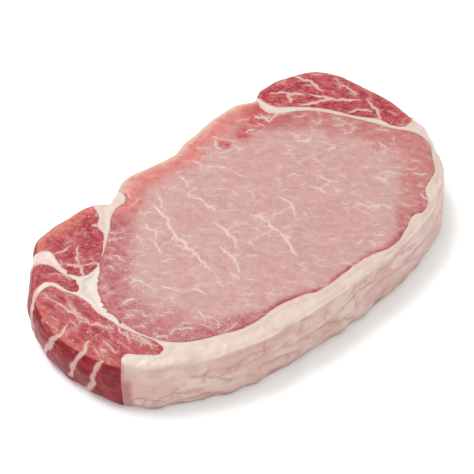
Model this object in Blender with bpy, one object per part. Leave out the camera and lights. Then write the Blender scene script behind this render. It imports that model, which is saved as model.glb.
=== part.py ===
"""A raw boneless pork loin chop: one thick slice of the loin, lying on its lower cut face.

The slice is first made as one soft blank. Columns that follow the muscles then part the blank into the
nodes: each muscle is the blank inside its column, and the fat is what is left between and round them.

Frame: X runs along the slice from the tail end to the chine end, Y from the back fat to the boned side,
Z up. The origin is under the middle of the slice, on the surface it rests on. Units are metres.
"""

import math

import bmesh
import bpy
from mathutils import Vector

MM = 0.001

# Driving sizes
THICKNESS = 19.0 * MM
BELLY_HEIGHT = 7.5 * MM  # where the side stands out most
EDGE_SQUARENESS = 3.0 * MM  # a tightly rounded edge is also a squarer one
GAP = 0.3 * MM  # between one muscle and the fat round it
COLUMN_REACH = 6.0 * MM  # how far a column runs past the cut faces

# How finely the blank is made
ROUND_STEPS = 150
RIM_STEPS = 9
FACE_RINGS = 4
COLUMN_STEPS = 4  # edges between two points of a muscle's outline

# The slice's widest outline in millimetres: x, y, how far in its upper edge starts to round over, and the
# same for its lower edge. It starts at the notch beside the rib muscle and runs round by the tail.
SLICE_OUTLINE = (
    (-29.0, 35.8, 4.0, 3.0),
    (-36.0, 40.2, 5.0, 3.0),
    (-47.0, 41.0, 6.0, 3.0),
    (-56.8, 39.6, 6.0, 3.0),
    (-60.8, 35.0, 6.0, 3.0),
    (-65.4, 31.2, 7.0, 3.0),
    (-72.2, 23.0, 7.0, 3.0),
    (-75.8, 10.0, 8.0, 3.0),
    (-75.4, -3.0, 8.0, 3.0),
    (-72.2, -14.2, 6.0, 2.5),
    (-68.3, -20.2, 3.5, 2.0),
    (-60.0, -28.0, 3.5, 2.0),
    (-49.0, -34.2, 3.5, 2.0),
    (-34.0, -39.8, 3.5, 2.0),
    (-18.0, -42.3, 3.0, 2.0),
    (0.0, -43.8, 3.0, 2.0),
    (16.0, -44.0, 3.0, 2.0),
    (32.0, -42.3, 3.0, 2.0),
    (46.2, -38.8, 3.0, 2.0),
    (57.2, -31.4, 3.5, 2.0),
    (65.6, -21.4, 3.5, 2.0),
    (70.2, -9.8, 3.5, 2.0),
    (71.7, 3.0, 3.5, 2.0),
    (70.6, 16.0, 4.0, 2.5),
    (68.4, 27.8, 4.0, 2.5),
    (62.4, 35.0, 4.0, 2.5),
    (53.0, 39.2, 4.0, 2.5),
    (44.4, 40.1, 4.0, 2.5),
    (38.6, 37.8, 4.0, 2.5),
    (33.2, 41.2, 5.0, 3.0),
    (22.0, 41.8, 5.0, 3.0),
    (8.0, 40.2, 5.0, 3.0),
    (1.0, 38.6, 5.0, 3.0),
    (-9.0, 40.2, 5.0, 3.0),
    (-19.0, 41.3, 5.0, 3.0),
)

# Gentle rises and dips of the upper face in millimetres: x, y, radius, rise.
FACE_SWELLS = (
    (-70.0, 8.0, 13.0, -2.2),
    (-2.0, 0.0, 42.0, 0.6),
    (62.0, 14.0, 16.0, 0.4),
)

# Each muscle: its outline on the upper cut face in millimetres, how far its foot leans, and its material.
# Where a muscle is bare at the side, its outline runs out past the slice.
MUSCLES = {
    "eye_muscle": dict(
        outline=(
            (-24.3, 31.4), (-22.6, 36.0), (-21.5, 47.0), (6.0, 49.0), (34.0, 47.0), (37.0, 36.0), (35.8, 29.8),
            (37.4, 26.6), (43.5, 22.4), (48.0, 18.0), (52.4, 10.6), (58.4, -1.0), (61.0, -6.4), (64.0, -11.0),
            (64.2, -17.0), (60.2, -22.6), (55.8, -27.6), (47.4, -30.8), (44.0, -35.0), (39.5, -37.0), (36.5, -35.8),
            (31.0, -37.8), (23.0, -40.0), (11.0, -37.4), (-7.0, -36.9), (-13.0, -34.6), (-20.0, -32.6),
            (-32.0, -31.9), (-40.2, -28.4), (-50.5, -22.4), (-55.4, -15.6), (-57.7, -1.0), (-55.4, 8.0),
            (-50.0, 14.2), (-36.0, 25.6), (-30.5, 30.3),
        ),
        lean=(-0.4, 0.4),
        material="pale_lean",
    ),
    "rib_muscle": dict(
        outline=(
            (-34.1, 35.9), (-35.8, 31.9), (-38.6, 29.2), (-39.0, 26.2), (-41.2, 23.4), (-47.8, 17.8), (-51.8, 16.6),
            (-55.2, 18.0), (-56.6, 22.0), (-56.2, 27.0), (-55.3, 31.0), (-57.4, 34.6), (-64.0, 41.0),
            (-60.0, 50.0), (-44.0, 51.0), (-33.5, 47.0),
        ),
        lean=(-0.8, 1.0),
        material="dark_lean",
    ),
    "rib_strip": dict(
        outline=(
            (-59.6, 27.6), (-58.4, 22.0), (-57.8, 16.6), (-58.8, 14.4), (-60.5, 15.8), (-61.4, 19.0), (-63.0, 22.8),
            (-66.4, 24.0), (-71.2, 21.4), (-82.0, 19.4), (-80.0, 34.0), (-66.0, 36.0),
        ),
        lean=(-1.6, 0.2),
        material="dark_lean",
    ),
    "flank_muscle": dict(
        outline=(
            (-64.4, 21.2), (-62.6, 17.6), (-60.2, 11.0), (-60.4, 2.7), (-59.0, -9.2), (-56.0, -18.0), (-56.6, -21.0),
            (-62.1, -17.4), (-65.7, -14.3), (-69.4, -17.2), (-78.0, -19.0), (-86.0, -8.0), (-86.0, 17.4),
            (-72.2, 19.5), (-67.6, 21.6),
        ),
        lean=(-0.6, -0.6),
        material="dark_lean",
    ),
    "chine_muscle": dict(
        outline=(
            (39.2, 35.0), (40.0, 29.4), (43.4, 25.8), (48.8, 20.2), (52.6, 14.0), (56.0, 7.4), (60.6, 0.6),
            (62.2, -5.0), (65.2, -7.4), (69.0, -5.6), (82.0, -1.0), (82.0, 20.0), (75.0, 38.0), (57.0, 48.0),
            (40.0, 47.0),
        ),
        lean=(0.6, 1.2),
        material="dark_lean",
    ),
}

# Colour as red, green and blue, then roughness.
MATERIALS = {
    "pale_lean": ((0.66, 0.36, 0.33), 0.45),
    "dark_lean": ((0.50, 0.10, 0.11), 0.42),
    "fat": ((0.84, 0.68, 0.60), 0.5),
}


def clear_scene():
    for old in list(bpy.data.objects):
        bpy.data.objects.remove(old, do_unlink=True)


def new_collection(name):
    collection = bpy.data.collections.new(name)
    bpy.context.scene.collection.children.link(collection)
    return collection


def principled(name):
    """A plain Principled BSDF from the table of materials."""
    colour, roughness = MATERIALS[name]
    material = bpy.data.materials.get(name) or bpy.data.materials.new(name)
    material.use_nodes = True
    shader = material.node_tree.nodes["Principled BSDF"]
    shader.inputs["Base Color"].default_value = (*colour, 1.0)
    shader.inputs["Roughness"].default_value = roughness
    shader.inputs["Metallic"].default_value = 0.0
    return material


def on_loop(table, turn):
    """The row of a closed table at turn, 0 to 1, eased between its rows by a Catmull-Rom curve."""
    place = turn * len(table)
    index = math.floor(place)
    t = place - index
    a, b, c, d = (Vector(table[(index + k) % len(table)]) for k in (-1, 0, 1, 2))
    return 0.5 * (2 * b + (c - a) * t + (2 * a - 5 * b + 4 * c - d) * t**2 + (3 * b - 3 * c + d - a) * t**3)


def slice_middle():
    """The middle of the slice's widest outline, where the origin goes."""
    edge = [on_loop(SLICE_OUTLINE, step / ROUND_STEPS) * MM for step in range(ROUND_STEPS)]
    return Vector([(min(p[axis] for p in edge) + max(p[axis] for p in edge)) / 2 for axis in (0, 1)] + [0.0])


def face_rise(x, y):
    """How far the upper cut face stands above the slice's thickness at this place."""
    rise = 0.0
    for swell_x, swell_y, radius, height in FACE_SWELLS:
        away = math.hypot(x / MM - swell_x, y / MM - swell_y) / radius
        rise += height * MM * math.exp(-(away**2))
    return rise


def on_slice(turn, station):
    """A point of the slice's skin. Station 0 is the middle of the upper face, the last that of the lower."""
    x, y, shoulder, foot = (value * MM for value in on_loop(SLICE_OUTLINE, turn))
    rim_place = (station - FACE_RINGS) / RIM_STEPS
    bend = math.pi * (0.5 - min(max(rim_place, 0.0), 1.0))
    radius = shoulder if bend > 0 else foot
    square = 2 / (2 + EDGE_SQUARENESS / radius)
    inset = radius * (1 - abs(math.cos(bend)) ** square)
    outward = Vector((x, y)).normalized()
    edge = Vector((x, y)) - outward * inset
    share = min(station, FACE_RINGS, 2 * FACE_RINGS + RIM_STEPS - station) / FACE_RINGS
    flat = edge * min(share, 1.0)
    lift = math.copysign(abs(math.sin(bend)) ** square, bend)
    if lift > 0:
        top = THICKNESS + face_rise(*flat)
        return Vector((*flat, BELLY_HEIGHT + (top - BELLY_HEIGHT) * lift))
    return Vector((*flat, BELLY_HEIGHT * (1 + lift)))


def new_cutter(name, form, cutters):
    """A hidden helper object holding the form, moved so that the origin is under the slice's middle."""
    bmesh.ops.translate(form, vec=-slice_middle(), verts=form.verts)
    bmesh.ops.recalc_face_normals(form, faces=form.faces)
    mesh = bpy.data.meshes.new(name)
    form.to_mesh(mesh)
    form.free()
    cutter = bpy.data.objects.new(name, mesh)
    cutters.objects.link(cutter)
    cutter.hide_render = True
    cutter.display_type = "WIRE"
    return cutter


def make_blank(cutters):
    """The whole slice as one soft solid, shaped from a sphere."""
    stations = 2 * FACE_RINGS + RIM_STEPS
    form = bmesh.new()
    bmesh.ops.create_uvsphere(form, u_segments=ROUND_STEPS, v_segments=stations, radius=1.0)
    for vert in form.verts:
        turn = math.atan2(vert.co.y, vert.co.x) / math.tau % 1.0
        station = round(math.acos(max(-1.0, min(1.0, vert.co.z))) / math.pi * stations)
        vert.co = on_slice(turn, station)
    return new_cutter("slice_blank", form, cutters)


def make_column(name, outline, lean, grown, cutters):
    """A muscle's column as a closed mesh. grown moves its wall outwards, which leaves the gap in the fat."""
    curve = bpy.data.curves.new(name, "CURVE")
    curve.dimensions = "2D"
    curve.fill_mode = "BOTH"
    curve.resolution_u = COLUMN_STEPS
    curve.extrude = THICKNESS / 2 + COLUMN_REACH
    curve.offset = grown
    spline = curve.splines.new("BEZIER")
    spline.bezier_points.add(len(outline) - 1)
    for point, (x, y) in zip(spline.bezier_points, outline):
        point.co = (x * MM, y * MM, 0.0)
        point.handle_left_type = point.handle_right_type = "AUTO"
    spline.use_cyclic_u = True
    drawn = bpy.data.objects.new(name, curve)
    cutters.objects.link(drawn)
    drawn.location.z = THICKNESS / 2
    bpy.context.view_layer.update()
    mesh = bpy.data.meshes.new_from_object(drawn.evaluated_get(bpy.context.evaluated_depsgraph_get()))
    mesh.transform(drawn.matrix_world.copy())
    bpy.data.objects.remove(drawn)
    form = bmesh.new()
    form.from_mesh(mesh)
    bmesh.ops.remove_doubles(form, verts=form.verts, dist=0.01 * MM)
    for vert in form.verts:
        below_top = (THICKNESS - vert.co.z) / THICKNESS
        vert.co.x += lean[0] * MM * below_top
        vert.co.y += lean[1] * MM * below_top
    return new_cutter(name, form, cutters)


def add_boolean(obj, operation, other):
    cut = obj.modifiers.new(other.name, "BOOLEAN")
    cut.operation = operation
    cut.solver = "EXACT"
    cut.object = other


def make_node(name, blank, material, chop):
    """A node starts as the whole slice, and Booleans leave its own share of it."""
    node = bpy.data.objects.new(name, blank.data.copy())
    chop.objects.link(node)
    node.data.materials.clear()
    node.data.materials.append(principled(material))
    return node


def main():
    clear_scene()
    chop = new_collection("pork_chop")
    cutters = new_collection("cutters")
    blank = make_blank(cutters)
    fat = make_node("fat", blank, "fat", chop)
    for name, muscle in MUSCLES.items():
        column = make_column(name + "_column", muscle["outline"], muscle["lean"], 0.0, cutters)
        node = make_node(name, blank, muscle["material"], chop)
        add_boolean(node, "INTERSECT", column)
        around = make_column(name + "_bed", muscle["outline"], muscle["lean"], GAP, cutters)
        add_boolean(fat, "DIFFERENCE", around)


main()
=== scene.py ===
import math
import random

import bmesh
import bpy
import numpy as np
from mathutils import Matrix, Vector, noise
from mathutils.bvhtree import BVHTree
from mathutils.kdtree import KDTree


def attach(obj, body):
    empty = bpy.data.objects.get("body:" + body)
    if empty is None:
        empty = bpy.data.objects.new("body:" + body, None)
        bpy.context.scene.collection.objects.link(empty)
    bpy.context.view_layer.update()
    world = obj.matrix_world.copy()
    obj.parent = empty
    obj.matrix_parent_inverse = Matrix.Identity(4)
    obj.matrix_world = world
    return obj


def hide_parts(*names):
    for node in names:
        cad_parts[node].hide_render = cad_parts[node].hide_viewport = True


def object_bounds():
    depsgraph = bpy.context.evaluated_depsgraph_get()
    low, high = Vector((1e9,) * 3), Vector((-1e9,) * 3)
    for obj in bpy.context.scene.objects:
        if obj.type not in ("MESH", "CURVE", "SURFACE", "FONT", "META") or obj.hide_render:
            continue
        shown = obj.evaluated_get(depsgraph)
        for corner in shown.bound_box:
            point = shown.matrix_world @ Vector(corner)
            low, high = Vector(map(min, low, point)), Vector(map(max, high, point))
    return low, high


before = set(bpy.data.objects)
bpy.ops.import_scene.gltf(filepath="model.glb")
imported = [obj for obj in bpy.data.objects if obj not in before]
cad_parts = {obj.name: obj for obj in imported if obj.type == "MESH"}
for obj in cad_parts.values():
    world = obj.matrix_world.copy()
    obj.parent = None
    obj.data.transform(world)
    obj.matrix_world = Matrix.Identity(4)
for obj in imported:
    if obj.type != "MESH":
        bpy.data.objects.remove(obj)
cad_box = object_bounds()
MM = 0.001
GAP = 0.3 * MM  # between the CAD solids
SKIN_STEP = 0.45 * MM  # how finely the skin is made
MUSCLES = ("eye_muscle", "rib_muscle", "rib_strip", "flank_muscle", "chine_muscle")
LOW = np.array(cad_box[0]) / MM
SIZE = np.array(cad_box[1]) / MM - LOW


# Veins of fat that are placed one by one: start x, y and end x, y in percents of the chop's length and
# breadth, bow as a share of the vein's length, and width in mm.
MAIN_VEINS = {
    "eye_muscle": (
        (38, 79, 36, 65, 0.05, 0.7), (36, 65, 35, 50, -0.06, 1.0), (35, 50, 34, 41, 0.04, 0.6),
        (44, 57, 42, 42, 0.08, 0.7), (40, 47, 38, 33, 0.06, 0.6), (45, 74, 46, 60, 0.12, 0.5),
        (51, 50, 52, 37, 0.05, 0.7), (52, 37, 50, 25, -0.06, 0.7), (59, 50, 57, 38, 0.2, 0.6),
        (48, 83, 47, 77, 0.0, 0.55), (41, 84, 39, 76, 0.1, 0.5), (20, 57, 22, 53, 0.25, 0.6),
        (22, 53, 22, 48, 0.2, 0.6), (24, 48, 26, 41, 0.0, 0.5), (31, 68, 30, 59, 0.05, 0.45),
        (74, 66, 77, 63, 0.0, 0.6), (70, 25, 74, 17, 0.1, 0.5), (72, 26, 72, 19, 0.0, 0.45),
        (78, 33, 79, 26, 0.1, 0.5), (66, 46, 67, 39, 0.1, 0.45), (61, 88, 60, 83, 0.0, 0.5),
        (73, 87, 74, 81, 0.1, 0.7), (74, 81, 80, 79, 0.1, 0.6), (17, 30, 21, 26, 0.2, 0.5),
        (15, 52, 18, 50, 0.0, 0.5), (54, 80, 57, 74, 0.1, 0.45), (33, 74, 32, 66, 0.1, 0.45),
    ),
    "rib_muscle": (
        (16, 75, 14, 79, 0.0, 0.7), (16, 75, 20, 69, 0.1, 0.5), (16, 76, 19, 83, 0.1, 0.5),
        (16, 75, 14, 70, 0.0, 0.8), (29, 82, 25, 87, 0.05, 1.2), (14, 86, 18, 85, 0.0, 0.45),
    ),
    "rib_strip": ((10, 80, 12, 73, 0.1, 0.4),),
    "flank_muscle": (
        (6, 72, 7, 57, 0.06, 0.5), (7, 57, 10, 46, 0.0, 0.5), (11, 68, 12, 52, 0.05, 0.5),
        (11, 49, 10, 37, 0.05, 0.5), (12, 42, 12, 30, 0.05, 0.45), (8, 66, 8, 54, -0.05, 0.45),
    ),
    "chine_muscle": (
        (81, 92, 86, 82, 0.05, 1.0), (87, 81, 94, 65, -0.04, 0.9), (89, 94, 90, 79, 0.05, 1.0),
        (83, 79, 90, 71, 0.05, 1.0), (84, 87, 82, 83, 0.0, 0.8),
        (89, 63, 93, 57, 0.1, 0.8), (95, 63, 92, 51, 0.08, 0.7), (94, 78, 95, 68, 0.0, 0.6),
    ),
}

# Fine veins are strewn: least and most x, least and most y in percent, how many, heading and its spread in
# degrees, and the longest in mm.
FINE_VEINS = {
    "eye_muscle": (12, 92, 8, 94, 520, -50, 28, 5.0),
    "rib_muscle": (10, 30, 60, 98, 26, 10, 50, 3.2),
    "rib_strip": (0, 14, 62, 96, 10, -40, 25, 3.0),
    "flank_muscle": (0, 14, 26, 82, 44, -84, 12, 9.0),
    "chine_muscle": (77, 98, 42, 98, 36, -40, 45, 4.0),
}
UNDERSIDE_SHIFT = (1.3, -1.9, 0.0)  # mm; the underside's veins lie a little off those above

# Stripes of fat on the flank's side, from the top down: y in percent, way up the side and over its
# shoulder as a percent of the height, then width in mm.
FLANK_STRIPES = (
    ((78, 110, 0.7), (76, 78, 1.0), (74, 50, 1.0), (73, 30, 0.8)),
    ((60, 110, 0.5), (59, 88, 1.2), (62, 50, 2.2), (65, 22, 1.5)),
    ((48, 110, 0.5), (47, 88, 1.2), (49, 50, 1.7), (51, 22, 1.3)),
    ((39, 88, 0.9), (40, 66, 1.5), (41, 38, 2.3), (44, 12, 1.8)),
)
CREASE_COUNT = 66

# Patches of the eye muscle: x and y in percent, then reach in mm.
DEEP_PATCHES = ((81, 88, 5.5), (77, 87, 5.0), (72, 84, 4.0), (67, 83, 3.0), (62, 84, 2.5))
CRUMBLY_PATCHES = ((22, 49, 5.5), (25, 64, 5.0), (18, 28, 4.5), (26, 21, 4.0), (73, 21, 5.0), (17, 42, 4.0))




# ---------------------------------------------------------------- camera, floor and light

def aim(obj, place, target):
    obj.location = place
    obj.rotation_euler = (Vector(target) - Vector(place)).to_track_quat("-Z", "Y").to_euler()


def set_camera():
    low, high = cad_box
    target = Vector(((low[0] + high[0]) / 2 - 2.1 * MM, (low[1] + high[1]) / 2 + 3.0 * MM, 9.5 * MM))
    azimuth, elevation = math.radians(-44.0), math.radians(48.0)
    back = Vector((
        math.sin(azimuth) * math.cos(elevation), -math.cos(azimuth) * math.cos(elevation), math.sin(elevation)
    ))
    camera = bpy.data.objects.new("camera", bpy.data.cameras.new("camera"))
    camera.data.lens = 120.0
    camera.data.sensor_width = 36.0
    camera.data.clip_start = 0.01
    bpy.context.scene.collection.objects.link(camera)
    aim(camera, target + back * 0.5032, target)
    bpy.context.scene.camera = camera


def area_light(name, place, size, watts, colour=(1.0, 1.0, 1.0)):
    light = bpy.data.objects.new(name, bpy.data.lights.new(name, "AREA"))
    light.data.shape = "DISK"
    light.data.size = size
    light.data.energy = watts
    light.data.color = colour
    bpy.context.scene.collection.objects.link(light)
    aim(light, place, (0.0, 0.0, 0.0))


def set_floor_and_light():
    form = bmesh.new()
    bmesh.ops.create_grid(form, x_segments=1, y_segments=1, size=1.5)
    mesh = bpy.data.meshes.new("floor")
    form.to_mesh(mesh)
    form.free()
    floor = bpy.data.objects.new("floor", mesh)
    bpy.context.scene.collection.objects.link(floor)
    paper = bpy.data.materials.new("pale_floor")
    paper.use_nodes = True
    shader = paper.node_tree.nodes["Principled BSDF"]
    shader.inputs["Base Color"].default_value = (0.985, 1.0, 0.99, 1.0)
    shader.inputs["Roughness"].default_value = 0.8
    shader.inputs["Specular IOR Level"].default_value = 0.0
    floor.data.materials.append(paper)
    world = bpy.data.worlds.new("studio")
    world.use_nodes = True
    world.node_tree.nodes["Background"].inputs["Color"].default_value = (0.99, 1.0, 1.0, 1.0)
    world.node_tree.nodes["Background"].inputs["Strength"].default_value = 0.95
    bpy.context.scene.world = world
    area_light("key", (-0.08, 0.46, 0.90), 0.55, 7.4)
    bpy.context.scene.view_settings.view_transform = "Standard"


# ---------------------------------------------------------------- the skin of the whole chop

def merged_copy(name):
    """A CAD node's mesh as a bmesh, with its loose triangles joined."""
    form = bmesh.new()
    form.from_mesh(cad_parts[name].data)
    bmesh.ops.remove_doubles(form, verts=form.verts, dist=0.002 * MM)
    form.normal_update()
    return form


def joined_copy(names):
    """Several nodes' meshes in one bmesh."""
    joined = bmesh.new()
    for name in names:
        form = merged_copy(name)
        mesh = bpy.data.meshes.new("part_of_join")
        form.to_mesh(mesh)
        form.free()
        joined.from_mesh(mesh)
        bpy.data.meshes.remove(mesh)
    return joined


def new_object(name, mesh):
    obj = bpy.data.objects.new(name, mesh)
    bpy.context.scene.collection.objects.link(obj)
    return obj


def made(obj):
    """The object's mesh with its modifiers applied, in place of its own."""
    mesh = bpy.data.meshes.new_from_object(obj.evaluated_get(bpy.context.evaluated_depsgraph_get()))
    obj.modifiers.clear()
    obj.data = mesh
    return mesh


def smoothstep(value, low, high):
    t = np.clip((np.asarray(value) - low) / (high - low), 0.0, 1.0)
    return t * t * (3 - 2 * t)


def bumps(places, size, seed, stretch=(1.0, 1.0, 1.0)):
    """Smooth noise from -1 to 1 at places in mm, with lumps about size mm across."""
    grown = places / (size * np.array(stretch)) + seed * 17.3
    return np.array([noise.noise(Vector(place)) for place in grown])


def in_percent(x, y):
    """A place in mm, from percents of the chop's length and breadth."""
    return LOW[0] + SIZE[0] * x / 100, LOW[1] + SIZE[1] * y / 100


def strand(start, end, bow, width, strength, seed):
    """A vein between two places: bowed by a share of its length, wandering and swelling on its way."""
    start, end = np.array(start), np.array(end)
    length = math.hypot(*(end - start))
    part = np.linspace(0, 1, max(3, round(length / 0.8) + 1))
    across = np.array((start[1] - end[1], end[0] - start[0])) / length
    wander = np.array([noise.noise((seed * 3.7, at * length / 1.8, 0.5)) for at in part])
    swell = np.array([noise.noise((seed * 5.3, at * length / 1.8, 9.5)) for at in part])
    sideways = bow * length * 4 * part * (1 - part) + min(1.2, 0.28 * length) * wander * np.sin(math.pi * part)
    points = start + part[:, None] * (end - start) + sideways[:, None] * across
    taper = np.clip(0.4 + 3.5 * np.minimum(part, 1 - part), 0.4, 1.0)
    return points, width * taper * (1 + 0.7 * swell), strength


def twigs_of(vein, draw):
    """Short twigs that leave a vein at a slant."""
    points, widths, strength = vein
    twigs = []
    for index in range(1, len(points) - 1):
        if draw.random() < 0.16:
            ahead = points[index + 1] - points[index - 1]
            heading = math.atan2(ahead[1], ahead[0]) + draw.choice((-1, 1)) * math.radians(draw.uniform(30, 70))
            length = draw.uniform(0.9, 2.4)
            tip = points[index] + length * np.array((math.cos(heading), math.sin(heading)))
            twigs.append(strand(points[index], tip, 0.1, 0.6 * widths[index], 0.8 * strength, draw.random() * 99))
    return twigs


def grown_veins(node):
    """The node's placed veins with their twigs, and the fine veins strewn between them."""
    draw = random.Random(len(node))
    veins = []
    for start_x, start_y, end_x, end_y, bow, width in MAIN_VEINS[node]:
        start, end = in_percent(start_x, start_y), in_percent(end_x, end_y)
        veins.append(strand(start, end, bow, width, 1.0, draw.random() * 99))
        if node != "chine_muscle":
            veins += twigs_of(veins[-1], draw)
    low_x, high_x, low_y, high_y, count, heading, spread, longest = FINE_VEINS[node]
    for _ in range(count):
        start = np.array(in_percent(draw.uniform(low_x, high_x), draw.uniform(low_y, high_y)))
        turned = math.radians(draw.gauss(heading, spread))
        length = longest * draw.uniform(0.25, 1.0)
        end = start + length * np.array((math.cos(turned), math.sin(turned)))
        width, strength = draw.uniform(0.24, 0.52), draw.uniform(0.3, 0.9)
        veins.append(strand(start, end, draw.uniform(-0.15, 0.15), width, strength, draw.random() * 99))
        if length > 0.45 * longest:
            veins += twigs_of(veins[-1], draw)
    return veins


def side_stripes():
    """Stripes of fat down the flank's bare side, in mm across and mm up."""
    stripes = []
    for row in FLANK_STRIPES:
        points = np.array([(LOW[1] + SIZE[1] * y / 100, SIZE[2] * z / 100) for y, z, _ in row])
        step = np.arange(len(row))
        finer = np.linspace(0, len(row) - 1, 4 * len(row))
        points = np.stack([np.interp(finer, step, points[:, axis]) for axis in (0, 1)], 1)
        stripes.append((points, np.interp(finer, step, [width for _, _, width in row]), 1.0))
    return stripes


def around_and_up(places):
    """Places on the outer side, unrolled: mm round the chop and mm up."""
    turn = np.arctan2(places[:, 1] * SIZE[0] / SIZE[1], places[:, 0])
    return np.stack([turn * (SIZE[0] + SIZE[1]) / 4, places[:, 2]], 1)


def fat_creases():
    """Creases in the rind: long slanting ones, with short ones that leave them."""
    draw = random.Random(4)
    creases = []
    for index in range(CREASE_COUNT):
        start = (-162 + 205 * (index + draw.random()) / CREASE_COUNT, draw.uniform(2.0, 16.0))
        steep = index % 3 == 2
        heading = math.radians(draw.gauss(66 if steep else -8, 12 if steep else 16))
        length = draw.uniform(3.0, 7.0) if steep else draw.uniform(6.0, 17.0)
        end = (start[0] + length * math.cos(heading), start[1] + length * math.sin(heading))
        creases.append(strand(start, end, 0.12, draw.uniform(0.26, 0.46), draw.uniform(0.5, 1.0), draw.random() * 99))
        creases += twigs_of(creases[-1], draw)
    return creases


def near_strands(flat_places, strands):
    """For each place in the plane: offset to the nearest strand, distance, half width and strength."""
    count = len(flat_places)
    offset = np.full((count, 2), 35.0)
    near, half, power = np.full(count, 50.0), np.full(count, 0.1), np.zeros(count)
    best = np.full(count, 1e9)
    for points, widths, strength in strands:
        close = np.all((flat_places > points.min(0) - 4) & (flat_places < points.max(0) + 4), axis=1).nonzero()[0]
        for index in range(len(points) - 1):
            along = points[index + 1] - points[index]
            away = flat_places[close] - points[index]
            part = np.clip(away @ along / max(along @ along, 1e-9), 0, 1)
            step = away - part[:, None] * along
            distance = np.hypot(step[:, 0], step[:, 1])
            here = widths[index] + part * (widths[index + 1] - widths[index])
            better = distance - here / 2 < best[close]
            chosen = close[better]
            best[chosen] = (distance - here / 2)[better]
            offset[chosen], near[chosen] = step[better], distance[better]
            half[chosen], power[chosen] = here[better] / 2, strength
    return offset, near, half, power


def vert_array(mesh, what="co"):
    values = np.empty(len(mesh.vertices) * 3, np.float32)
    if what == "co":
        mesh.vertices.foreach_get("co", values)
        return values.reshape(-1, 3).astype(float) / MM
    mesh.vertex_normals.foreach_get("vector", values)
    return values.reshape(-1, 3).astype(float)


def whole_skin():
    """One closed skin round all the nodes: they are swollen until their gaps shut, fused, and shrunk back."""
    swell = 0.2 * MM
    joined = bmesh.new()
    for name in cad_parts:
        form = merged_copy(name)
        for vert in form.verts:
            vert.co += vert.normal * swell
        mesh = bpy.data.meshes.new(name + "_swollen")
        form.to_mesh(mesh)
        form.free()
        joined.from_mesh(mesh)
    mesh = bpy.data.meshes.new("skin")
    joined.to_mesh(mesh)
    joined.free()
    skin = new_object("skin", mesh)
    fuse = skin.modifiers.new("fuse", "REMESH")
    fuse.mode = "VOXEL"
    fuse.voxel_size = SKIN_STEP
    made(skin)
    form = bmesh.new()
    form.from_mesh(skin.data)
    form.normal_update()
    for vert in form.verts:
        vert.co -= vert.normal * swell
    for _ in range(7):
        bmesh.ops.smooth_vert(form, verts=form.verts, factor=0.5, use_axis_x=True, use_axis_y=True, use_axis_z=True)
    for vert in form.verts:
        if vert.co.z < 0.12 * MM:
            vert.co.z = 0.0
    form.to_mesh(skin.data)
    form.free()
    return skin


def node_distances(places):
    """Distance in mm from each place to each node, up to 4 mm."""
    distances = {}
    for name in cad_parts:
        form = merged_copy(name)
        tree = BVHTree.FromBMesh(form)
        form.free()
        found = (tree.find_nearest(Vector(place) * MM, 4 * MM)[3] for place in places)
        distances[name] = np.array([4.0 if far is None else far / MM for far in found])
    return distances


def carve(skin):
    """The lumps, furrows and seams of a cut chop, all pressed inwards."""
    places, outward = vert_array(skin.data), vert_array(skin.data, "normal")
    side = 1 - smoothstep(np.abs(outward[:, 2]), 0.45, 0.9)
    distances = node_distances(places)
    ranked = np.sort(np.array(list(distances.values())), axis=0)
    border = np.maximum(ranked[1] - 0.15, 0)
    inner = smoothstep(border, 0.1, 1.6)
    on = {name: (far <= ranked[0] + 1e-6).astype(float) for name, far in distances.items()}
    dark = on["rib_muscle"] + on["rib_strip"] + on["flank_muscle"] + on["chine_muscle"]
    top = 1 - side
    depth = top * (0.10 * (1 - bumps(places, 13, 1)) + 0.05 * (1 - bumps(places, 5, 2)))
    depth += 0.09 * np.exp(-(border / 0.6) ** 2)
    depth += dark * inner * 0.16 * (1 - np.abs(bumps(places, 2.8, 3, (0.8, 1.5, 1.5)))) * top
    depth += dark * inner * 0.08 * (1 - bumps(places, 1.3, 4)) * top
    depth += on["eye_muscle"] * inner * 0.05 * (1 - bumps(places, 2.2, 5, (1.4, 1.4, 2.0)))
    rind = on["fat"] * side
    low_down = 1 - smoothstep(places[:, 2], 1.5, 6.0)
    depth -= rind * (0.9 * bumps(places, 9, 6, (1.0, 1.0, 1.8)) + 0.35 * bumps(places, 3.2, 7))
    cap = on["fat"] * smoothstep(border, 0.5, 2.5) * top
    depth += cap * (0.30 * (1 - bumps(places, 4.5, 10)) + 0.12 * (1 - bumps(places, 1.8, 11)))
    depth -= rind * low_down * 0.8 * bumps(places, 5.5, 8)
    depth -= (1 - on["fat"]) * side * 0.5 * bumps(places, 6, 9)
    _, near, half, power = near_strands(around_and_up(places), fat_creases())
    depth += rind * 0.13 * power * np.exp(-(near / (half + 0.3)) ** 2)
    flat_foot = smoothstep(places[:, 2], 0.05, 1.0)
    places -= outward * (depth * flat_foot)[:, None]
    places = np.clip(places, LOW, LOW + SIZE)
    skin.data.vertices.foreach_set("co", (places * MM).astype(np.float32).ravel())
    skin.data.update()


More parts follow.
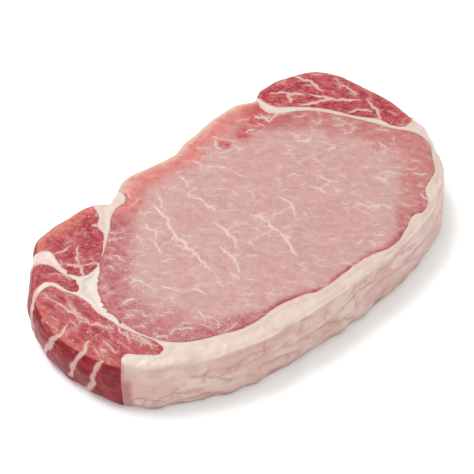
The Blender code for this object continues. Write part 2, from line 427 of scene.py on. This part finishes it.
def cutter_for(name, others):
    """The node grown past the skin and half way across the gap to its neighbours, with ragged walls."""
    form = merged_copy(name)
    wall = {}
    for face in form.faces:
        faced = others.ray_cast(face.calc_center_median(), face.normal, 1.2 * MM)[0]
        wall[face] = faced is not None and abs(face.normal.z) < 0.6
    moves = []
    for vert in form.verts:
        move = Vector()
        for kind, reach in ((True, GAP / 2), (False, 1.2 * MM)):
            normals = [face.normal * face.calc_area() for face in vert.link_faces if wall[face] is kind]
            if normals:
                move += sum(normals, Vector()).normalized() * reach
        moves.append(move)
    for vert, move in zip(form.verts, moves):
        vert.co += move
    long_edges = [edge for edge in form.edges if edge.calc_length() > 1.6 * MM]
    bmesh.ops.subdivide_edges(form, edges=long_edges, cuts=4)
    bmesh.ops.triangulate(form, faces=form.faces)
    places = np.array([vert.co for vert in form.verts]) / MM
    ragged = [0.4 * bumps(places, 3.6, 50 + axis) + 0.2 * bumps(places, 1.9, 52 + axis) for axis in (0, 1)]
    for vert, aside, along in zip(form.verts, *ragged):
        vert.co += Vector((aside, along, 0.0)) * MM
    mesh = bpy.data.meshes.new(name + "_cutter")
    form.to_mesh(mesh)
    form.free()
    return new_object(name + "_cutter", mesh)


def cut_piece(name, skin, operation, cutters):
    piece = new_object(name, skin.data.copy())
    for cutter in cutters:
        cut = piece.modifiers.new("cut", "BOOLEAN")
        cut.operation = operation
        cut.solver = "MANIFOLD"
        cut.object = cutter
    made(piece)
    return piece


def cut_pieces(skin):
    cutters = {}
    for name in MUSCLES:
        form = joined_copy(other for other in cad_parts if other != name)
        cutters[name] = cutter_for(name, BVHTree.FromBMesh(form))
        form.free()
    pieces = {name: cut_piece(name + "_dressed", skin, "INTERSECT", [cutters[name]]) for name in MUSCLES}
    pieces["fat"] = cut_piece("fat_dressed", skin, "DIFFERENCE", list(cutters.values()))
    for helper in cutters.values():
        bpy.data.objects.remove(helper)
    return pieces


# ---------------------------------------------------------------- measures painted on the vertices

def keep_values(mesh, name, values):
    kind = "FLOAT_VECTOR" if values.ndim == 2 else "FLOAT"
    layer = mesh.attributes.new(name, kind, "POINT")
    layer.data.foreach_set("vector" if values.ndim == 2 else "value", values.astype(np.float32).ravel())


def measure(node, piece, skin_sides, outer_edge):
    """Distances the materials use: to the neighbours, to the outer side, and to the marbling's courses."""
    mesh = piece.data
    places = vert_array(mesh)
    form = joined_copy(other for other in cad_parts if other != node)
    tree = BVHTree.FromBMesh(form)
    form.free()
    rim = np.array([tree.find_nearest(Vector(place) * MM)[3] for place in places]) / MM - 0.15
    keep_values(mesh, "rim", np.maximum(rim, 0.0))
    keep_values(mesh, "height", places[:, 2])
    from_edge = np.array([outer_edge.find((x, y, 0.0))[2] for x, y, _ in places])
    keep_values(mesh, "edge", from_edge)
    bare_side = np.array([skin_sides[1][skin_sides[0].find(Vector(place))[1]] for place in places])
    keep_values(mesh, "side", bare_side)
    warped = places + 0.22 * np.stack([bumps(places, 1.3, 20 + axis) for axis in range(3)], 1)
    warped += 0.35 * np.stack([bumps(places, 3.4, 25 + axis) for axis in range(3)], 1)
    offset = np.zeros((len(places), 3))
    if node == "fat":
        flat_offset, near, half, power = near_strands(around_and_up(warped), fat_creases())
        offset[:, (0, 2)] = flat_offset
    else:
        warped[places[:, 2] < 10.0] += UNDERSIDE_SHIFT
        flat_offset, near, half, power = near_strands(warped[:, :2], grown_veins(node))
        offset[:, :2] = flat_offset
        walls = bare_side > 0.6
        offset[walls], near[walls], power[walls] = 35.0, 50.0, 0.0
    if node == "flank_muscle":
        wavy = 1.0 * bumps(places, 3.4, 41) + 0.2 * bumps(places, 1.4, 42)
        up_and_over = np.stack([places[:, 1] + wavy, places[:, 2] + from_edge], 1)
        flat_offset, *stripe = near_strands(up_and_over, side_stripes())
        striped = (from_edge < 6.0) & (stripe[0] < stripe[1] + 1.2)
        offset[striped, 0], offset[striped, 1:] = 0.0, flat_offset[striped]
        near[striped], half[striped], power[striped] = (values[striped] for values in stripe)
    keep_values(mesh, "vein_offset", offset)
    keep_values(mesh, "vein_near", near)
    keep_values(mesh, "vein_half", half)
    keep_values(mesh, "vein_power", power)
    return places, rim


def share(places, axis):
    return (places[:, axis] - LOW[axis]) / SIZE[axis]


def spot(places, x, y, reach):
    """A soft round patch at a place in percents of the chop's length and breadth; reach is in mm."""
    middle = in_percent(x, y)
    away = np.hypot(places[:, 0] - middle[0], places[:, 1] - middle[1])
    return np.exp(-(away / reach) ** 2)


def measure_eye(piece, places, rim):
    mesh = piece.data
    edge = np.empty(len(places), np.float32)
    mesh.attributes["edge"].data.foreach_get("value", edge)
    left = 1 - smoothstep(share(places, 0), 0.12, 0.40)
    right = smoothstep(share(places, 0), 0.62, 0.95)
    patch = bumps(places, 7, 31) + 0.5 * bumps(places, 3, 32)
    width = 2 + 17 * left + 17 * right + 6 * smoothstep(share(places, 1), 0.55, 0.8)
    width += (1.2 + 3 * left + 3 * right) * patch
    redness = smoothstep(1 - rim / np.maximum(width, 1), 0.0, 0.85)
    keep_values(mesh, "right", right)
    keep_values(mesh, "redness", redness)
    back = smoothstep(share(places, 1), 0.66, 0.80) * (1 - smoothstep(share(places, 0), 0.80, 0.86))
    salmon = (1 - smoothstep(edge + 2.8 * patch + 9 * left, 5.5, 12.5)) * back
    keep_values(mesh, "salmon", salmon)
    deep = sum(spot(places, *row) for row in DEEP_PATCHES)
    crumbs = sum(spot(places, *row) for row in CRUMBLY_PATCHES)
    keep_values(mesh, "crumbs", np.clip(crumbs + 0.4 * patch * (crumbs > 0.1), 0, 1))
    keep_values(mesh, "deep", np.clip(1.3 * deep + 0.3 * patch * salmon, 0, 1) * smoothstep(edge, 0.4, 1.8))


# ---------------------------------------------------------------- materials; lengths are in mm

LIGHT_LEVEL = 1.56


def tone(red, green, blue):
    """A colour as it looks under the studio light, as the shader's own linear values."""
    values = []
    for part in (red, green, blue):
        part = part / 255
        values.append((part / 12.92 if part <= 0.04045 else ((part + 0.055) / 1.055) ** 2.4) / LIGHT_LEVEL)
    return (*values, 1.0)


class Paint:
    """Builds one material's nodes."""

    def __init__(self, name):
        self.material = bpy.data.materials.new(name)
        self.material.use_nodes = True
        self.tree = self.material.node_tree
        self.shader = self.tree.nodes["Principled BSDF"]
        self.place = self.add("ShaderNodeMapping", {
            "Vector": self.add("ShaderNodeTexCoord").outputs["Object"], "Scale": (1000.0, 1000.0, 1000.0)
        }).outputs[0]

    def add(self, kind, inputs=None, **settings):
        node = self.tree.nodes.new(kind)
        for key, value in settings.items():
            setattr(node, key, value)
        for key, value in (inputs or {}).items():
            if isinstance(value, bpy.types.NodeSocket):
                self.tree.links.new(value, node.inputs[key])
            else:
                node.inputs[key].default_value = value
        return node

    def attribute(self, name, output="Fac"):
        return self.add("ShaderNodeAttribute", attribute_name=name).outputs[output]

    def maths(self, operation, first, second=0.0, third=0.0, clamp=False):
        node = self.add("ShaderNodeMath", {0: first, 1: second, 2: third}, operation=operation, use_clamp=clamp)
        return node.outputs[0]

    def total(self, *parts):
        """Sum of (value, weight) pairs and plain numbers."""
        result = 0.0
        for part in parts:
            value, weight = part if isinstance(part, tuple) else (part, 1.0)
            result = self.maths("MULTIPLY_ADD", value, weight, result)
        return result

    def step(self, value, low, high):
        """0 below low, 1 above high, smooth between; low may be the larger."""
        flip = low > high
        node = self.add("ShaderNodeMapRange", {
            "Value": value, "From Min": min(low, high), "From Max": max(low, high),
            "To Min": 1.0 if flip else 0.0, "To Max": 0.0 if flip else 1.0,
        }, interpolation_type="SMOOTHSTEP")
        return node.outputs["Result"]

    def product(self, *values):
        result = values[0]
        for value in values[1:]:
            result = self.maths("MULTIPLY", result, value)
        return result

    def stretched(self, size, turn=0.0, shift=(0.0, 0.0, 0.0)):
        """Places measured in lumps of this size; the first length lies along turn degrees."""
        return self.add("ShaderNodeMapping", {
            "Vector": self.place, "Location": shift, "Rotation": (0.0, 0.0, math.radians(turn)), "Scale": size
        }, vector_type="TEXTURE").outputs[0]

    def warped(self, vector, size, amount):
        """The places pushed about by noise; size and amount in lumps."""
        swirl = self.add("ShaderNodeTexNoise", {"Vector": vector, "Scale": 1.0 / size, "Detail": 1.0})
        centred = self.add("ShaderNodeVectorMath", {0: swirl.outputs["Color"], 1: (0.5, 0.5, 0.5)}, operation="SUBTRACT")
        return self.add("ShaderNodeVectorMath", {
            0: centred.outputs[0], 1: (2 * amount,) * 3, 2: vector
        }, operation="MULTIPLY_ADD").outputs[0]

    def clouds(self, vector, detail=2.0, rough=0.5, scale=1.0):
        return self.add("ShaderNodeTexNoise", {
            "Vector": vector, "Scale": scale, "Detail": detail, "Roughness": rough
        }).outputs["Fac"]

    def cracks(self, vector, scale=1.0):
        """Distance to the borders of cells, in lumps."""
        return self.add("ShaderNodeTexVoronoi", {"Vector": vector, "Scale": scale}, feature="DISTANCE_TO_EDGE").outputs[0]

    def cell_shade(self, vector, scale=1.0):
        """One random value for each cell."""
        colour = self.add("ShaderNodeTexVoronoi", {"Vector": vector, "Scale": scale}, feature="F1").outputs["Color"]
        return self.add("ShaderNodeSeparateColor", {0: colour}).outputs[0]

    def mix(self, base, colour, amount, how="MIX"):
        node = self.add("ShaderNodeMix", {0: amount, 6: base, 7: colour}, data_type="RGBA", blend_type=how)
        node.clamp_factor = True
        return node.outputs[2]

    def contours(self, vector, width, detail=1.0, scale=1.0):
        """Thin wandering lines: the half-way contours of soft noise."""
        away = self.maths("ABSOLUTE", self.total(self.clouds(vector, detail, 0.5, scale), -0.5))
        return self.step(away, width, 0.3 * width)

    def vein(self, ragged):
        """Strength of the marbling course here, with a ragged edge."""
        length = self.add("ShaderNodeVectorMath", {0: self.attribute("vein_offset", "Vector")}, operation="LENGTH")
        half = self.attribute("vein_half")
        across = self.maths("DIVIDE", length.outputs["Value"], half)
        across = self.total(across, (ragged, 1.2), -0.6)
        close = self.step(self.maths("SUBTRACT", self.attribute("vein_near"), half), 0.6, 0.25)
        return self.product(self.step(across, 1.5, 0.5), self.attribute("vein_power"), close)

    def finish(self, colour, roughness, height, soft, specular=0.5):
        shader = self.shader
        self.tree.links.new(colour, shader.inputs["Base Color"])
        if isinstance(roughness, bpy.types.NodeSocket):
            self.tree.links.new(roughness, shader.inputs["Roughness"])
        else:
            shader.inputs["Roughness"].default_value = roughness
        bump = self.add("ShaderNodeBump", {"Strength": 1.0, "Distance": MM, "Height": height})
        self.tree.links.new(bump.outputs[0], shader.inputs["Normal"])
        shader.inputs["Subsurface Weight"].default_value = soft
        shader.inputs["Subsurface Radius"].default_value = (1.0, 0.45, 0.35)
        shader.inputs["Subsurface Scale"].default_value = 1.2 * MM
        shader.inputs["Specular IOR Level"].default_value = specular
        return self.material


FIBRE_TURN = -44.0  # the fine fibre streaks lie this way


def eye_lean():
    paint = Paint("eye_muscle_lean")
    grain = paint.clouds(paint.stretched((2.4, 0.6, 2.0), FIBRE_TURN), 3.0, 0.6)
    fine = paint.clouds(paint.stretched((0.7, 0.5, 0.7), FIBRE_TURN), 3.0, 0.65)
    blotch = paint.clouds(paint.stretched((3.2, 2.4, 3.0), -60.0, (2.0, 7.0, 1.0)), 3.0, 0.6)
    broad = paint.clouds(paint.stretched((7.0, 7.0, 7.0)), 3.0)
    places = paint.warped(paint.stretched((5.4, 2.5, 9.0), -50.0), 0.42, 0.75)
    border = paint.cracks(places)
    bundle = paint.cell_shade(places)
    gate = paint.clouds(paint.stretched((2.2, 2.2, 2.2), 0.0, (9.0, 3.0, 1.0)), 2.0)
    redness = paint.attribute("redness")
    edge = paint.attribute("edge")
    streaks = paint.clouds(paint.stretched((5.0, 0.9, 4.0), FIBRE_TURN), 2.0, 0.5)
    squiggles = paint.contours(paint.stretched((1.4, 1.1, 1.3)), 0.075)
    squiggles = paint.product(squiggles, paint.step(fine, 0.42, 0.52), paint.attribute("crumbs"))
    colour = paint.mix(tone(214, 168, 161), tone(209, 153, 148), paint.step(blotch, 0.42, 0.66))
    colour = paint.mix(colour, tone(207, 150, 145), paint.product(paint.step(broad, 0.46, 0.64), 0.5))
    colour = paint.mix(colour, tone(222, 182, 174), paint.product(paint.step(streaks, 0.54, 0.68), 0.14))
    colour = paint.mix(colour, tone(200, 146, 142), paint.product(paint.step(streaks, 0.47, 0.36), 0.12))
    red = paint.mix(tone(198, 108, 108), tone(178, 70, 78), paint.step(blotch, 0.4, 0.6))
    red = paint.mix(red, paint.mix(tone(206, 134, 127), tone(200, 112, 106), paint.step(blotch, 0.4, 0.62)), paint.attribute("right"))
    colour = paint.mix(colour, red, redness)
    inwards = paint.total(edge, (broad, 5.0), (fine, 1.5), -3.2)
    warm = paint.mix(tone(225, 133, 122), tone(236, 182, 160), paint.step(inwards, 5.4, 1.4))
    warm = paint.mix(warm, tone(210, 96, 96), paint.product(paint.step(blotch, 0.46, 0.62), 0.6))
    colour = paint.mix(colour, warm, paint.product(paint.attribute("salmon"), 0.92))
    colour = paint.mix(colour, tone(200, 62, 68), paint.product(paint.attribute("deep"), paint.step(blotch, 0.85, 0.5)))
    colour = paint.mix(colour, tone(180, 98, 98), paint.product(paint.step(grain, 0.52, 0.72), 0.2))
    colour = paint.mix(colour, tone(228, 192, 182), paint.product(paint.step(grain, 0.46, 0.3), 0.12))
    seams = paint.step(paint.total(border, (fine, 0.06)), 0.11, 0.04)
    seams = paint.product(seams, paint.step(gate, 0.42, 0.54), paint.total((paint.attribute("salmon"), -0.3), (redness, -0.1), 0.4))
    colour = paint.mix(colour, tone(228, 190, 180), seams)
    red_line = paint.product(paint.step(paint.total(paint.attribute("rim"), (fine, 0.8)), 1.1, 0.4), 0.5)
    colour = paint.mix(colour, tone(166, 66, 72), red_line)
    colour = paint.mix(colour, tone(236, 206, 194), paint.product(squiggles, 0.6))
    halo = paint.product(paint.step(paint.attribute("vein_near"), 1.5, 0.2), paint.attribute("vein_power"), 0.3)
    colour = paint.mix(colour, tone(224, 184, 175), halo)
    vein = paint.product(paint.vein(fine), paint.step(paint.total((gate, 0.4), (grain, 0.6)), 0.28, 0.42))
    colour = paint.mix(colour, tone(234, 206, 195), vein)
    side = paint.attribute("side")
    membrane = paint.step(paint.total(edge, (fine, 1.6)), 3.8, 1.7)
    membrane = paint.product(membrane, paint.total(0.75, (side, -0.6)))
    colour = paint.mix(colour, tone(222, 190, 168), membrane)
    side_meat = paint.mix(tone(206, 112, 104), tone(188, 78, 80), paint.step(blotch, 0.4, 0.62))
    colour = paint.mix(colour, side_meat, paint.product(paint.step(side, 0.3, 0.9), paint.total((fine, 0.5), 0.5)))
    height = paint.total(
        (grain, 0.04), (fine, 0.07), (streaks, 0.08), (vein, 0.06), (squiggles, 0.07), (paint.step(border, 0.0, 0.15), 0.04)
    )
    return paint.finish(colour, paint.total((fine, 0.35), 0.2), height, 0.12, 0.35)


def dark_lean(name, deep, bright, orange_reach, orange_share, turn, size, lined=0.26):
    paint = Paint(name)
    fine = paint.clouds(paint.stretched((0.8, 0.5, 0.8), turn), 3.0, 0.65)
    places = paint.warped(paint.stretched(size, turn), 0.6, 0.45)
    border = paint.cracks(places)
    gate = paint.clouds(paint.stretched((2.5, 2.5, 2.5), 0.0, (4.0, 8.0, 1.0)), 2.0)
    mottle = paint.clouds(paint.stretched((size[0] * 0.8, size[1] * 0.8, 2.4), turn), 3.0, 0.65)
    patches = paint.clouds(paint.stretched((6.0, 6.0, 6.0), 0.0, (1.0, 2.0, 7.0)), 2.0)
    side = paint.attribute("side")
    colour = paint.mix(bright, deep, paint.step(mottle, 0.38, 0.6))
    pale = paint.product(paint.step(paint.cell_shade(places), 0.45, 0.9), 0.55)
    colour = paint.mix(colour, tone(208, 96, 98), pale)
    edge = paint.total(paint.attribute("edge"), (patches, 12.0), (fine, 1.5), -6.2)
    orange = paint.product(paint.step(edge, orange_reach, 0.2 * orange_reach), orange_share)
    orange = paint.product(orange, paint.total(1.0, (paint.step(side, 0.3, 0.7), -0.8)))
    colour = paint.mix(colour, paint.mix(tone(214, 100, 88), tone(222, 136, 114), paint.step(mottle, 0.6, 0.4)), orange)
    lines = paint.step(paint.total(border, (fine, 0.12)), 0.18, 0.03)
    lines = paint.product(lines, paint.step(gate, 0.4, 0.6))
    colour = paint.mix(colour, tone(222, 146, 140), paint.product(lines, lined))
    # painted glints: tiny pale-pink dots standing in for wet highlights on the cut face, fainter on the bare side
    painted_glints = paint.product(paint.contours(paint.stretched((1.3, 0.8, 1.2), turn), 0.05), paint.step(gate, 0.5, 0.6))
    painted_glints = paint.product(painted_glints, paint.step(fine, 0.45, 0.55), paint.total(1.0, (side, -0.7)))
    colour = paint.mix(colour, tone(246, 208, 198), paint.product(painted_glints, 0.8))
    wall = paint.mix(tone(172, 36, 48), tone(136, 12, 28), paint.step(mottle, 0.35, 0.6))
    # lighter patches on the bare side: partly mottled tone, partly painted sheen standing in for its gloss
    wall = paint.mix(wall, tone(190, 74, 76), paint.product(paint.step(patches, 0.56, 0.7), 0.3))
    colour = paint.mix(colour, wall, paint.step(side, 0.15, 0.55))
    vein = paint.vein(fine)
    colour = paint.mix(colour, tone(222, 150, 144), paint.product(paint.step(paint.attribute("vein_near"), 1.1, 0.2), 0.35))
    colour = paint.mix(colour, paint.mix(tone(232, 194, 184), tone(230, 184, 176), side), paint.product(vein, 0.92))
    height = paint.total(
        (mottle, 0.16), (fine, 0.11), (vein, 0.05), (painted_glints, 0.06), (paint.step(border, 0.0, 0.2), 0.1)
    )
    return paint.finish(colour, paint.total((fine, 0.35), 0.2), height, 0.1, 0.18)


def fat_paint():
    paint = Paint("fat_and_rind")
    fine = paint.clouds(paint.stretched((0.9, 0.9, 0.9)), 3.0, 0.6)
    lumps = paint.clouds(paint.stretched((6.0, 6.0, 4.0)), 3.0, 0.55)
    blush = paint.clouds(paint.stretched((9.0, 9.0, 6.0), 0.0, (3.0, 5.0, 2.0)), 2.0, 0.5)
    side = paint.attribute("side")
    edge = paint.attribute("edge")
    colour = paint.mix(tone(234, 218, 206), tone(238, 214, 202), paint.step(edge, 12.0, 5.0))
    colour = paint.mix(colour, tone(230, 194, 182), paint.product(paint.step(lumps, 0.5, 0.7), 0.45))
    wall = paint.mix(tone(246, 218, 206), tone(238, 192, 180), paint.step(blush, 0.4, 0.62))
    wall = paint.mix(wall, tone(222, 162, 152), paint.product(paint.step(lumps, 0.5, 0.72), 0.55))
    # the side grows darker and pinker towards the bottom
    wall = paint.mix(wall, tone(210, 146, 138), paint.product(paint.step(paint.attribute("height"), 5.0, 0.5), 0.4))
    # painted contact shadow: a dark red-brown band along the foot of the rind, where it meets the floor
    wall = paint.mix(wall, tone(164, 92, 88), paint.product(paint.step(paint.attribute("height"), 2.2, 0.7), 0.7))
    colour = paint.mix(colour, wall, side)
    red_spots = paint.clouds(paint.stretched((2.6, 2.6, 1.6), 0.0, (2.0, 6.0, 4.0)), 2.0, 0.6)
    colour = paint.mix(colour, tone(212, 134, 126), paint.product(paint.step(red_spots, 0.66, 0.74), side, 0.6))
    rim = paint.step(paint.total(paint.attribute("rim"), (fine, 0.9)), 1.35, 0.4)
    colour = paint.mix(colour, tone(216, 144, 138), paint.product(rim, 0.5))
    colour = paint.mix(colour, tone(200, 124, 128), paint.product(paint.attribute("bruise"), paint.step(lumps, 0.3, 0.45), side))
    vein = paint.vein(fine)
    colour = paint.mix(colour, tone(216, 152, 144), paint.product(paint.step(paint.attribute("vein_near"), 1.3, 0.2), side, 0.3))
    colour = paint.mix(colour, tone(200, 122, 114), paint.product(vein, side, 0.65))
    height = paint.total((fine, 0.08), (lumps, 0.3), (red_spots, 0.1))
    return paint.finish(colour, paint.total((fine, 0.25), 0.27), height, 0.25)


def main():
    set_camera()
    set_floor_and_light()
    skin = whole_skin()
    smooth_places, smooth_normals = vert_array(skin.data), vert_array(skin.data, "normal")
    side = 1 - smoothstep(np.abs(smooth_normals[:, 2]), 0.3, 0.85)
    side_tree = KDTree(len(smooth_places))
    outer_edge = KDTree(len(smooth_places))
    for index, place in enumerate(smooth_places):
        side_tree.insert(place, index)
        if side[index] > 0.6:
            outer_edge.insert((place[0], place[1], 0.0), index)
    side_tree.balance()
    outer_edge.balance()
    carve(skin)
    pieces = cut_pieces(skin)
    bpy.data.objects.remove(skin)
    deep, bright = tone(160, 42, 54), tone(202, 80, 88)
    paints = {
        "eye_muscle": eye_lean(),
        "rib_muscle": dark_lean("rib_muscle_lean", deep, bright, 7.0, 1.0, -50.0, (2.2, 1.5, 3.0)),
        "rib_strip": dark_lean("rib_strip_lean", deep, tone(200, 80, 86), 2.0, 0.5, -40.0, (4.0, 1.2, 4.0)),
        "flank_muscle": dark_lean("flank_lean", tone(168, 52, 62), tone(202, 88, 93), 5.5, 0.55, -81.0, (8.0, 1.5, 4.0), 0.5),
        "chine_muscle": dark_lean("chine_muscle_lean", deep, bright, 3.0, 0.6, -35.0, (3.2, 1.8, 3.0)),
        "fat": fat_paint(),
    }
    for node, piece in pieces.items():
        places, rim = measure(node, piece, (side_tree, side), outer_edge)
        if node == "eye_muscle":
            measure_eye(piece, places, rim)
        if node == "fat":
            from_flank = node_distances(places)["flank_muscle"] + 0.9 * bumps(places, 3.5, 61)
            beside_flank = 1 - smoothstep(from_flank, 1.8, 3.8)
            bruise = beside_flank * (1 - smoothstep(places[:, 2], 10.0, 16.0))
            keep_values(piece.data, "bruise", bruise)
        piece.data.shade_smooth()
        piece.data.set_sharp_from_angle(angle=math.radians(50))
        piece.data.materials.clear()
        piece.data.materials.append(paints[node])
        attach(piece, "root")
        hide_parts(node)
        print("PIECE", node, sum(len(p.vertices) - 2 for p in piece.data.polygons))


main()
bpy.context.view_layer.update()
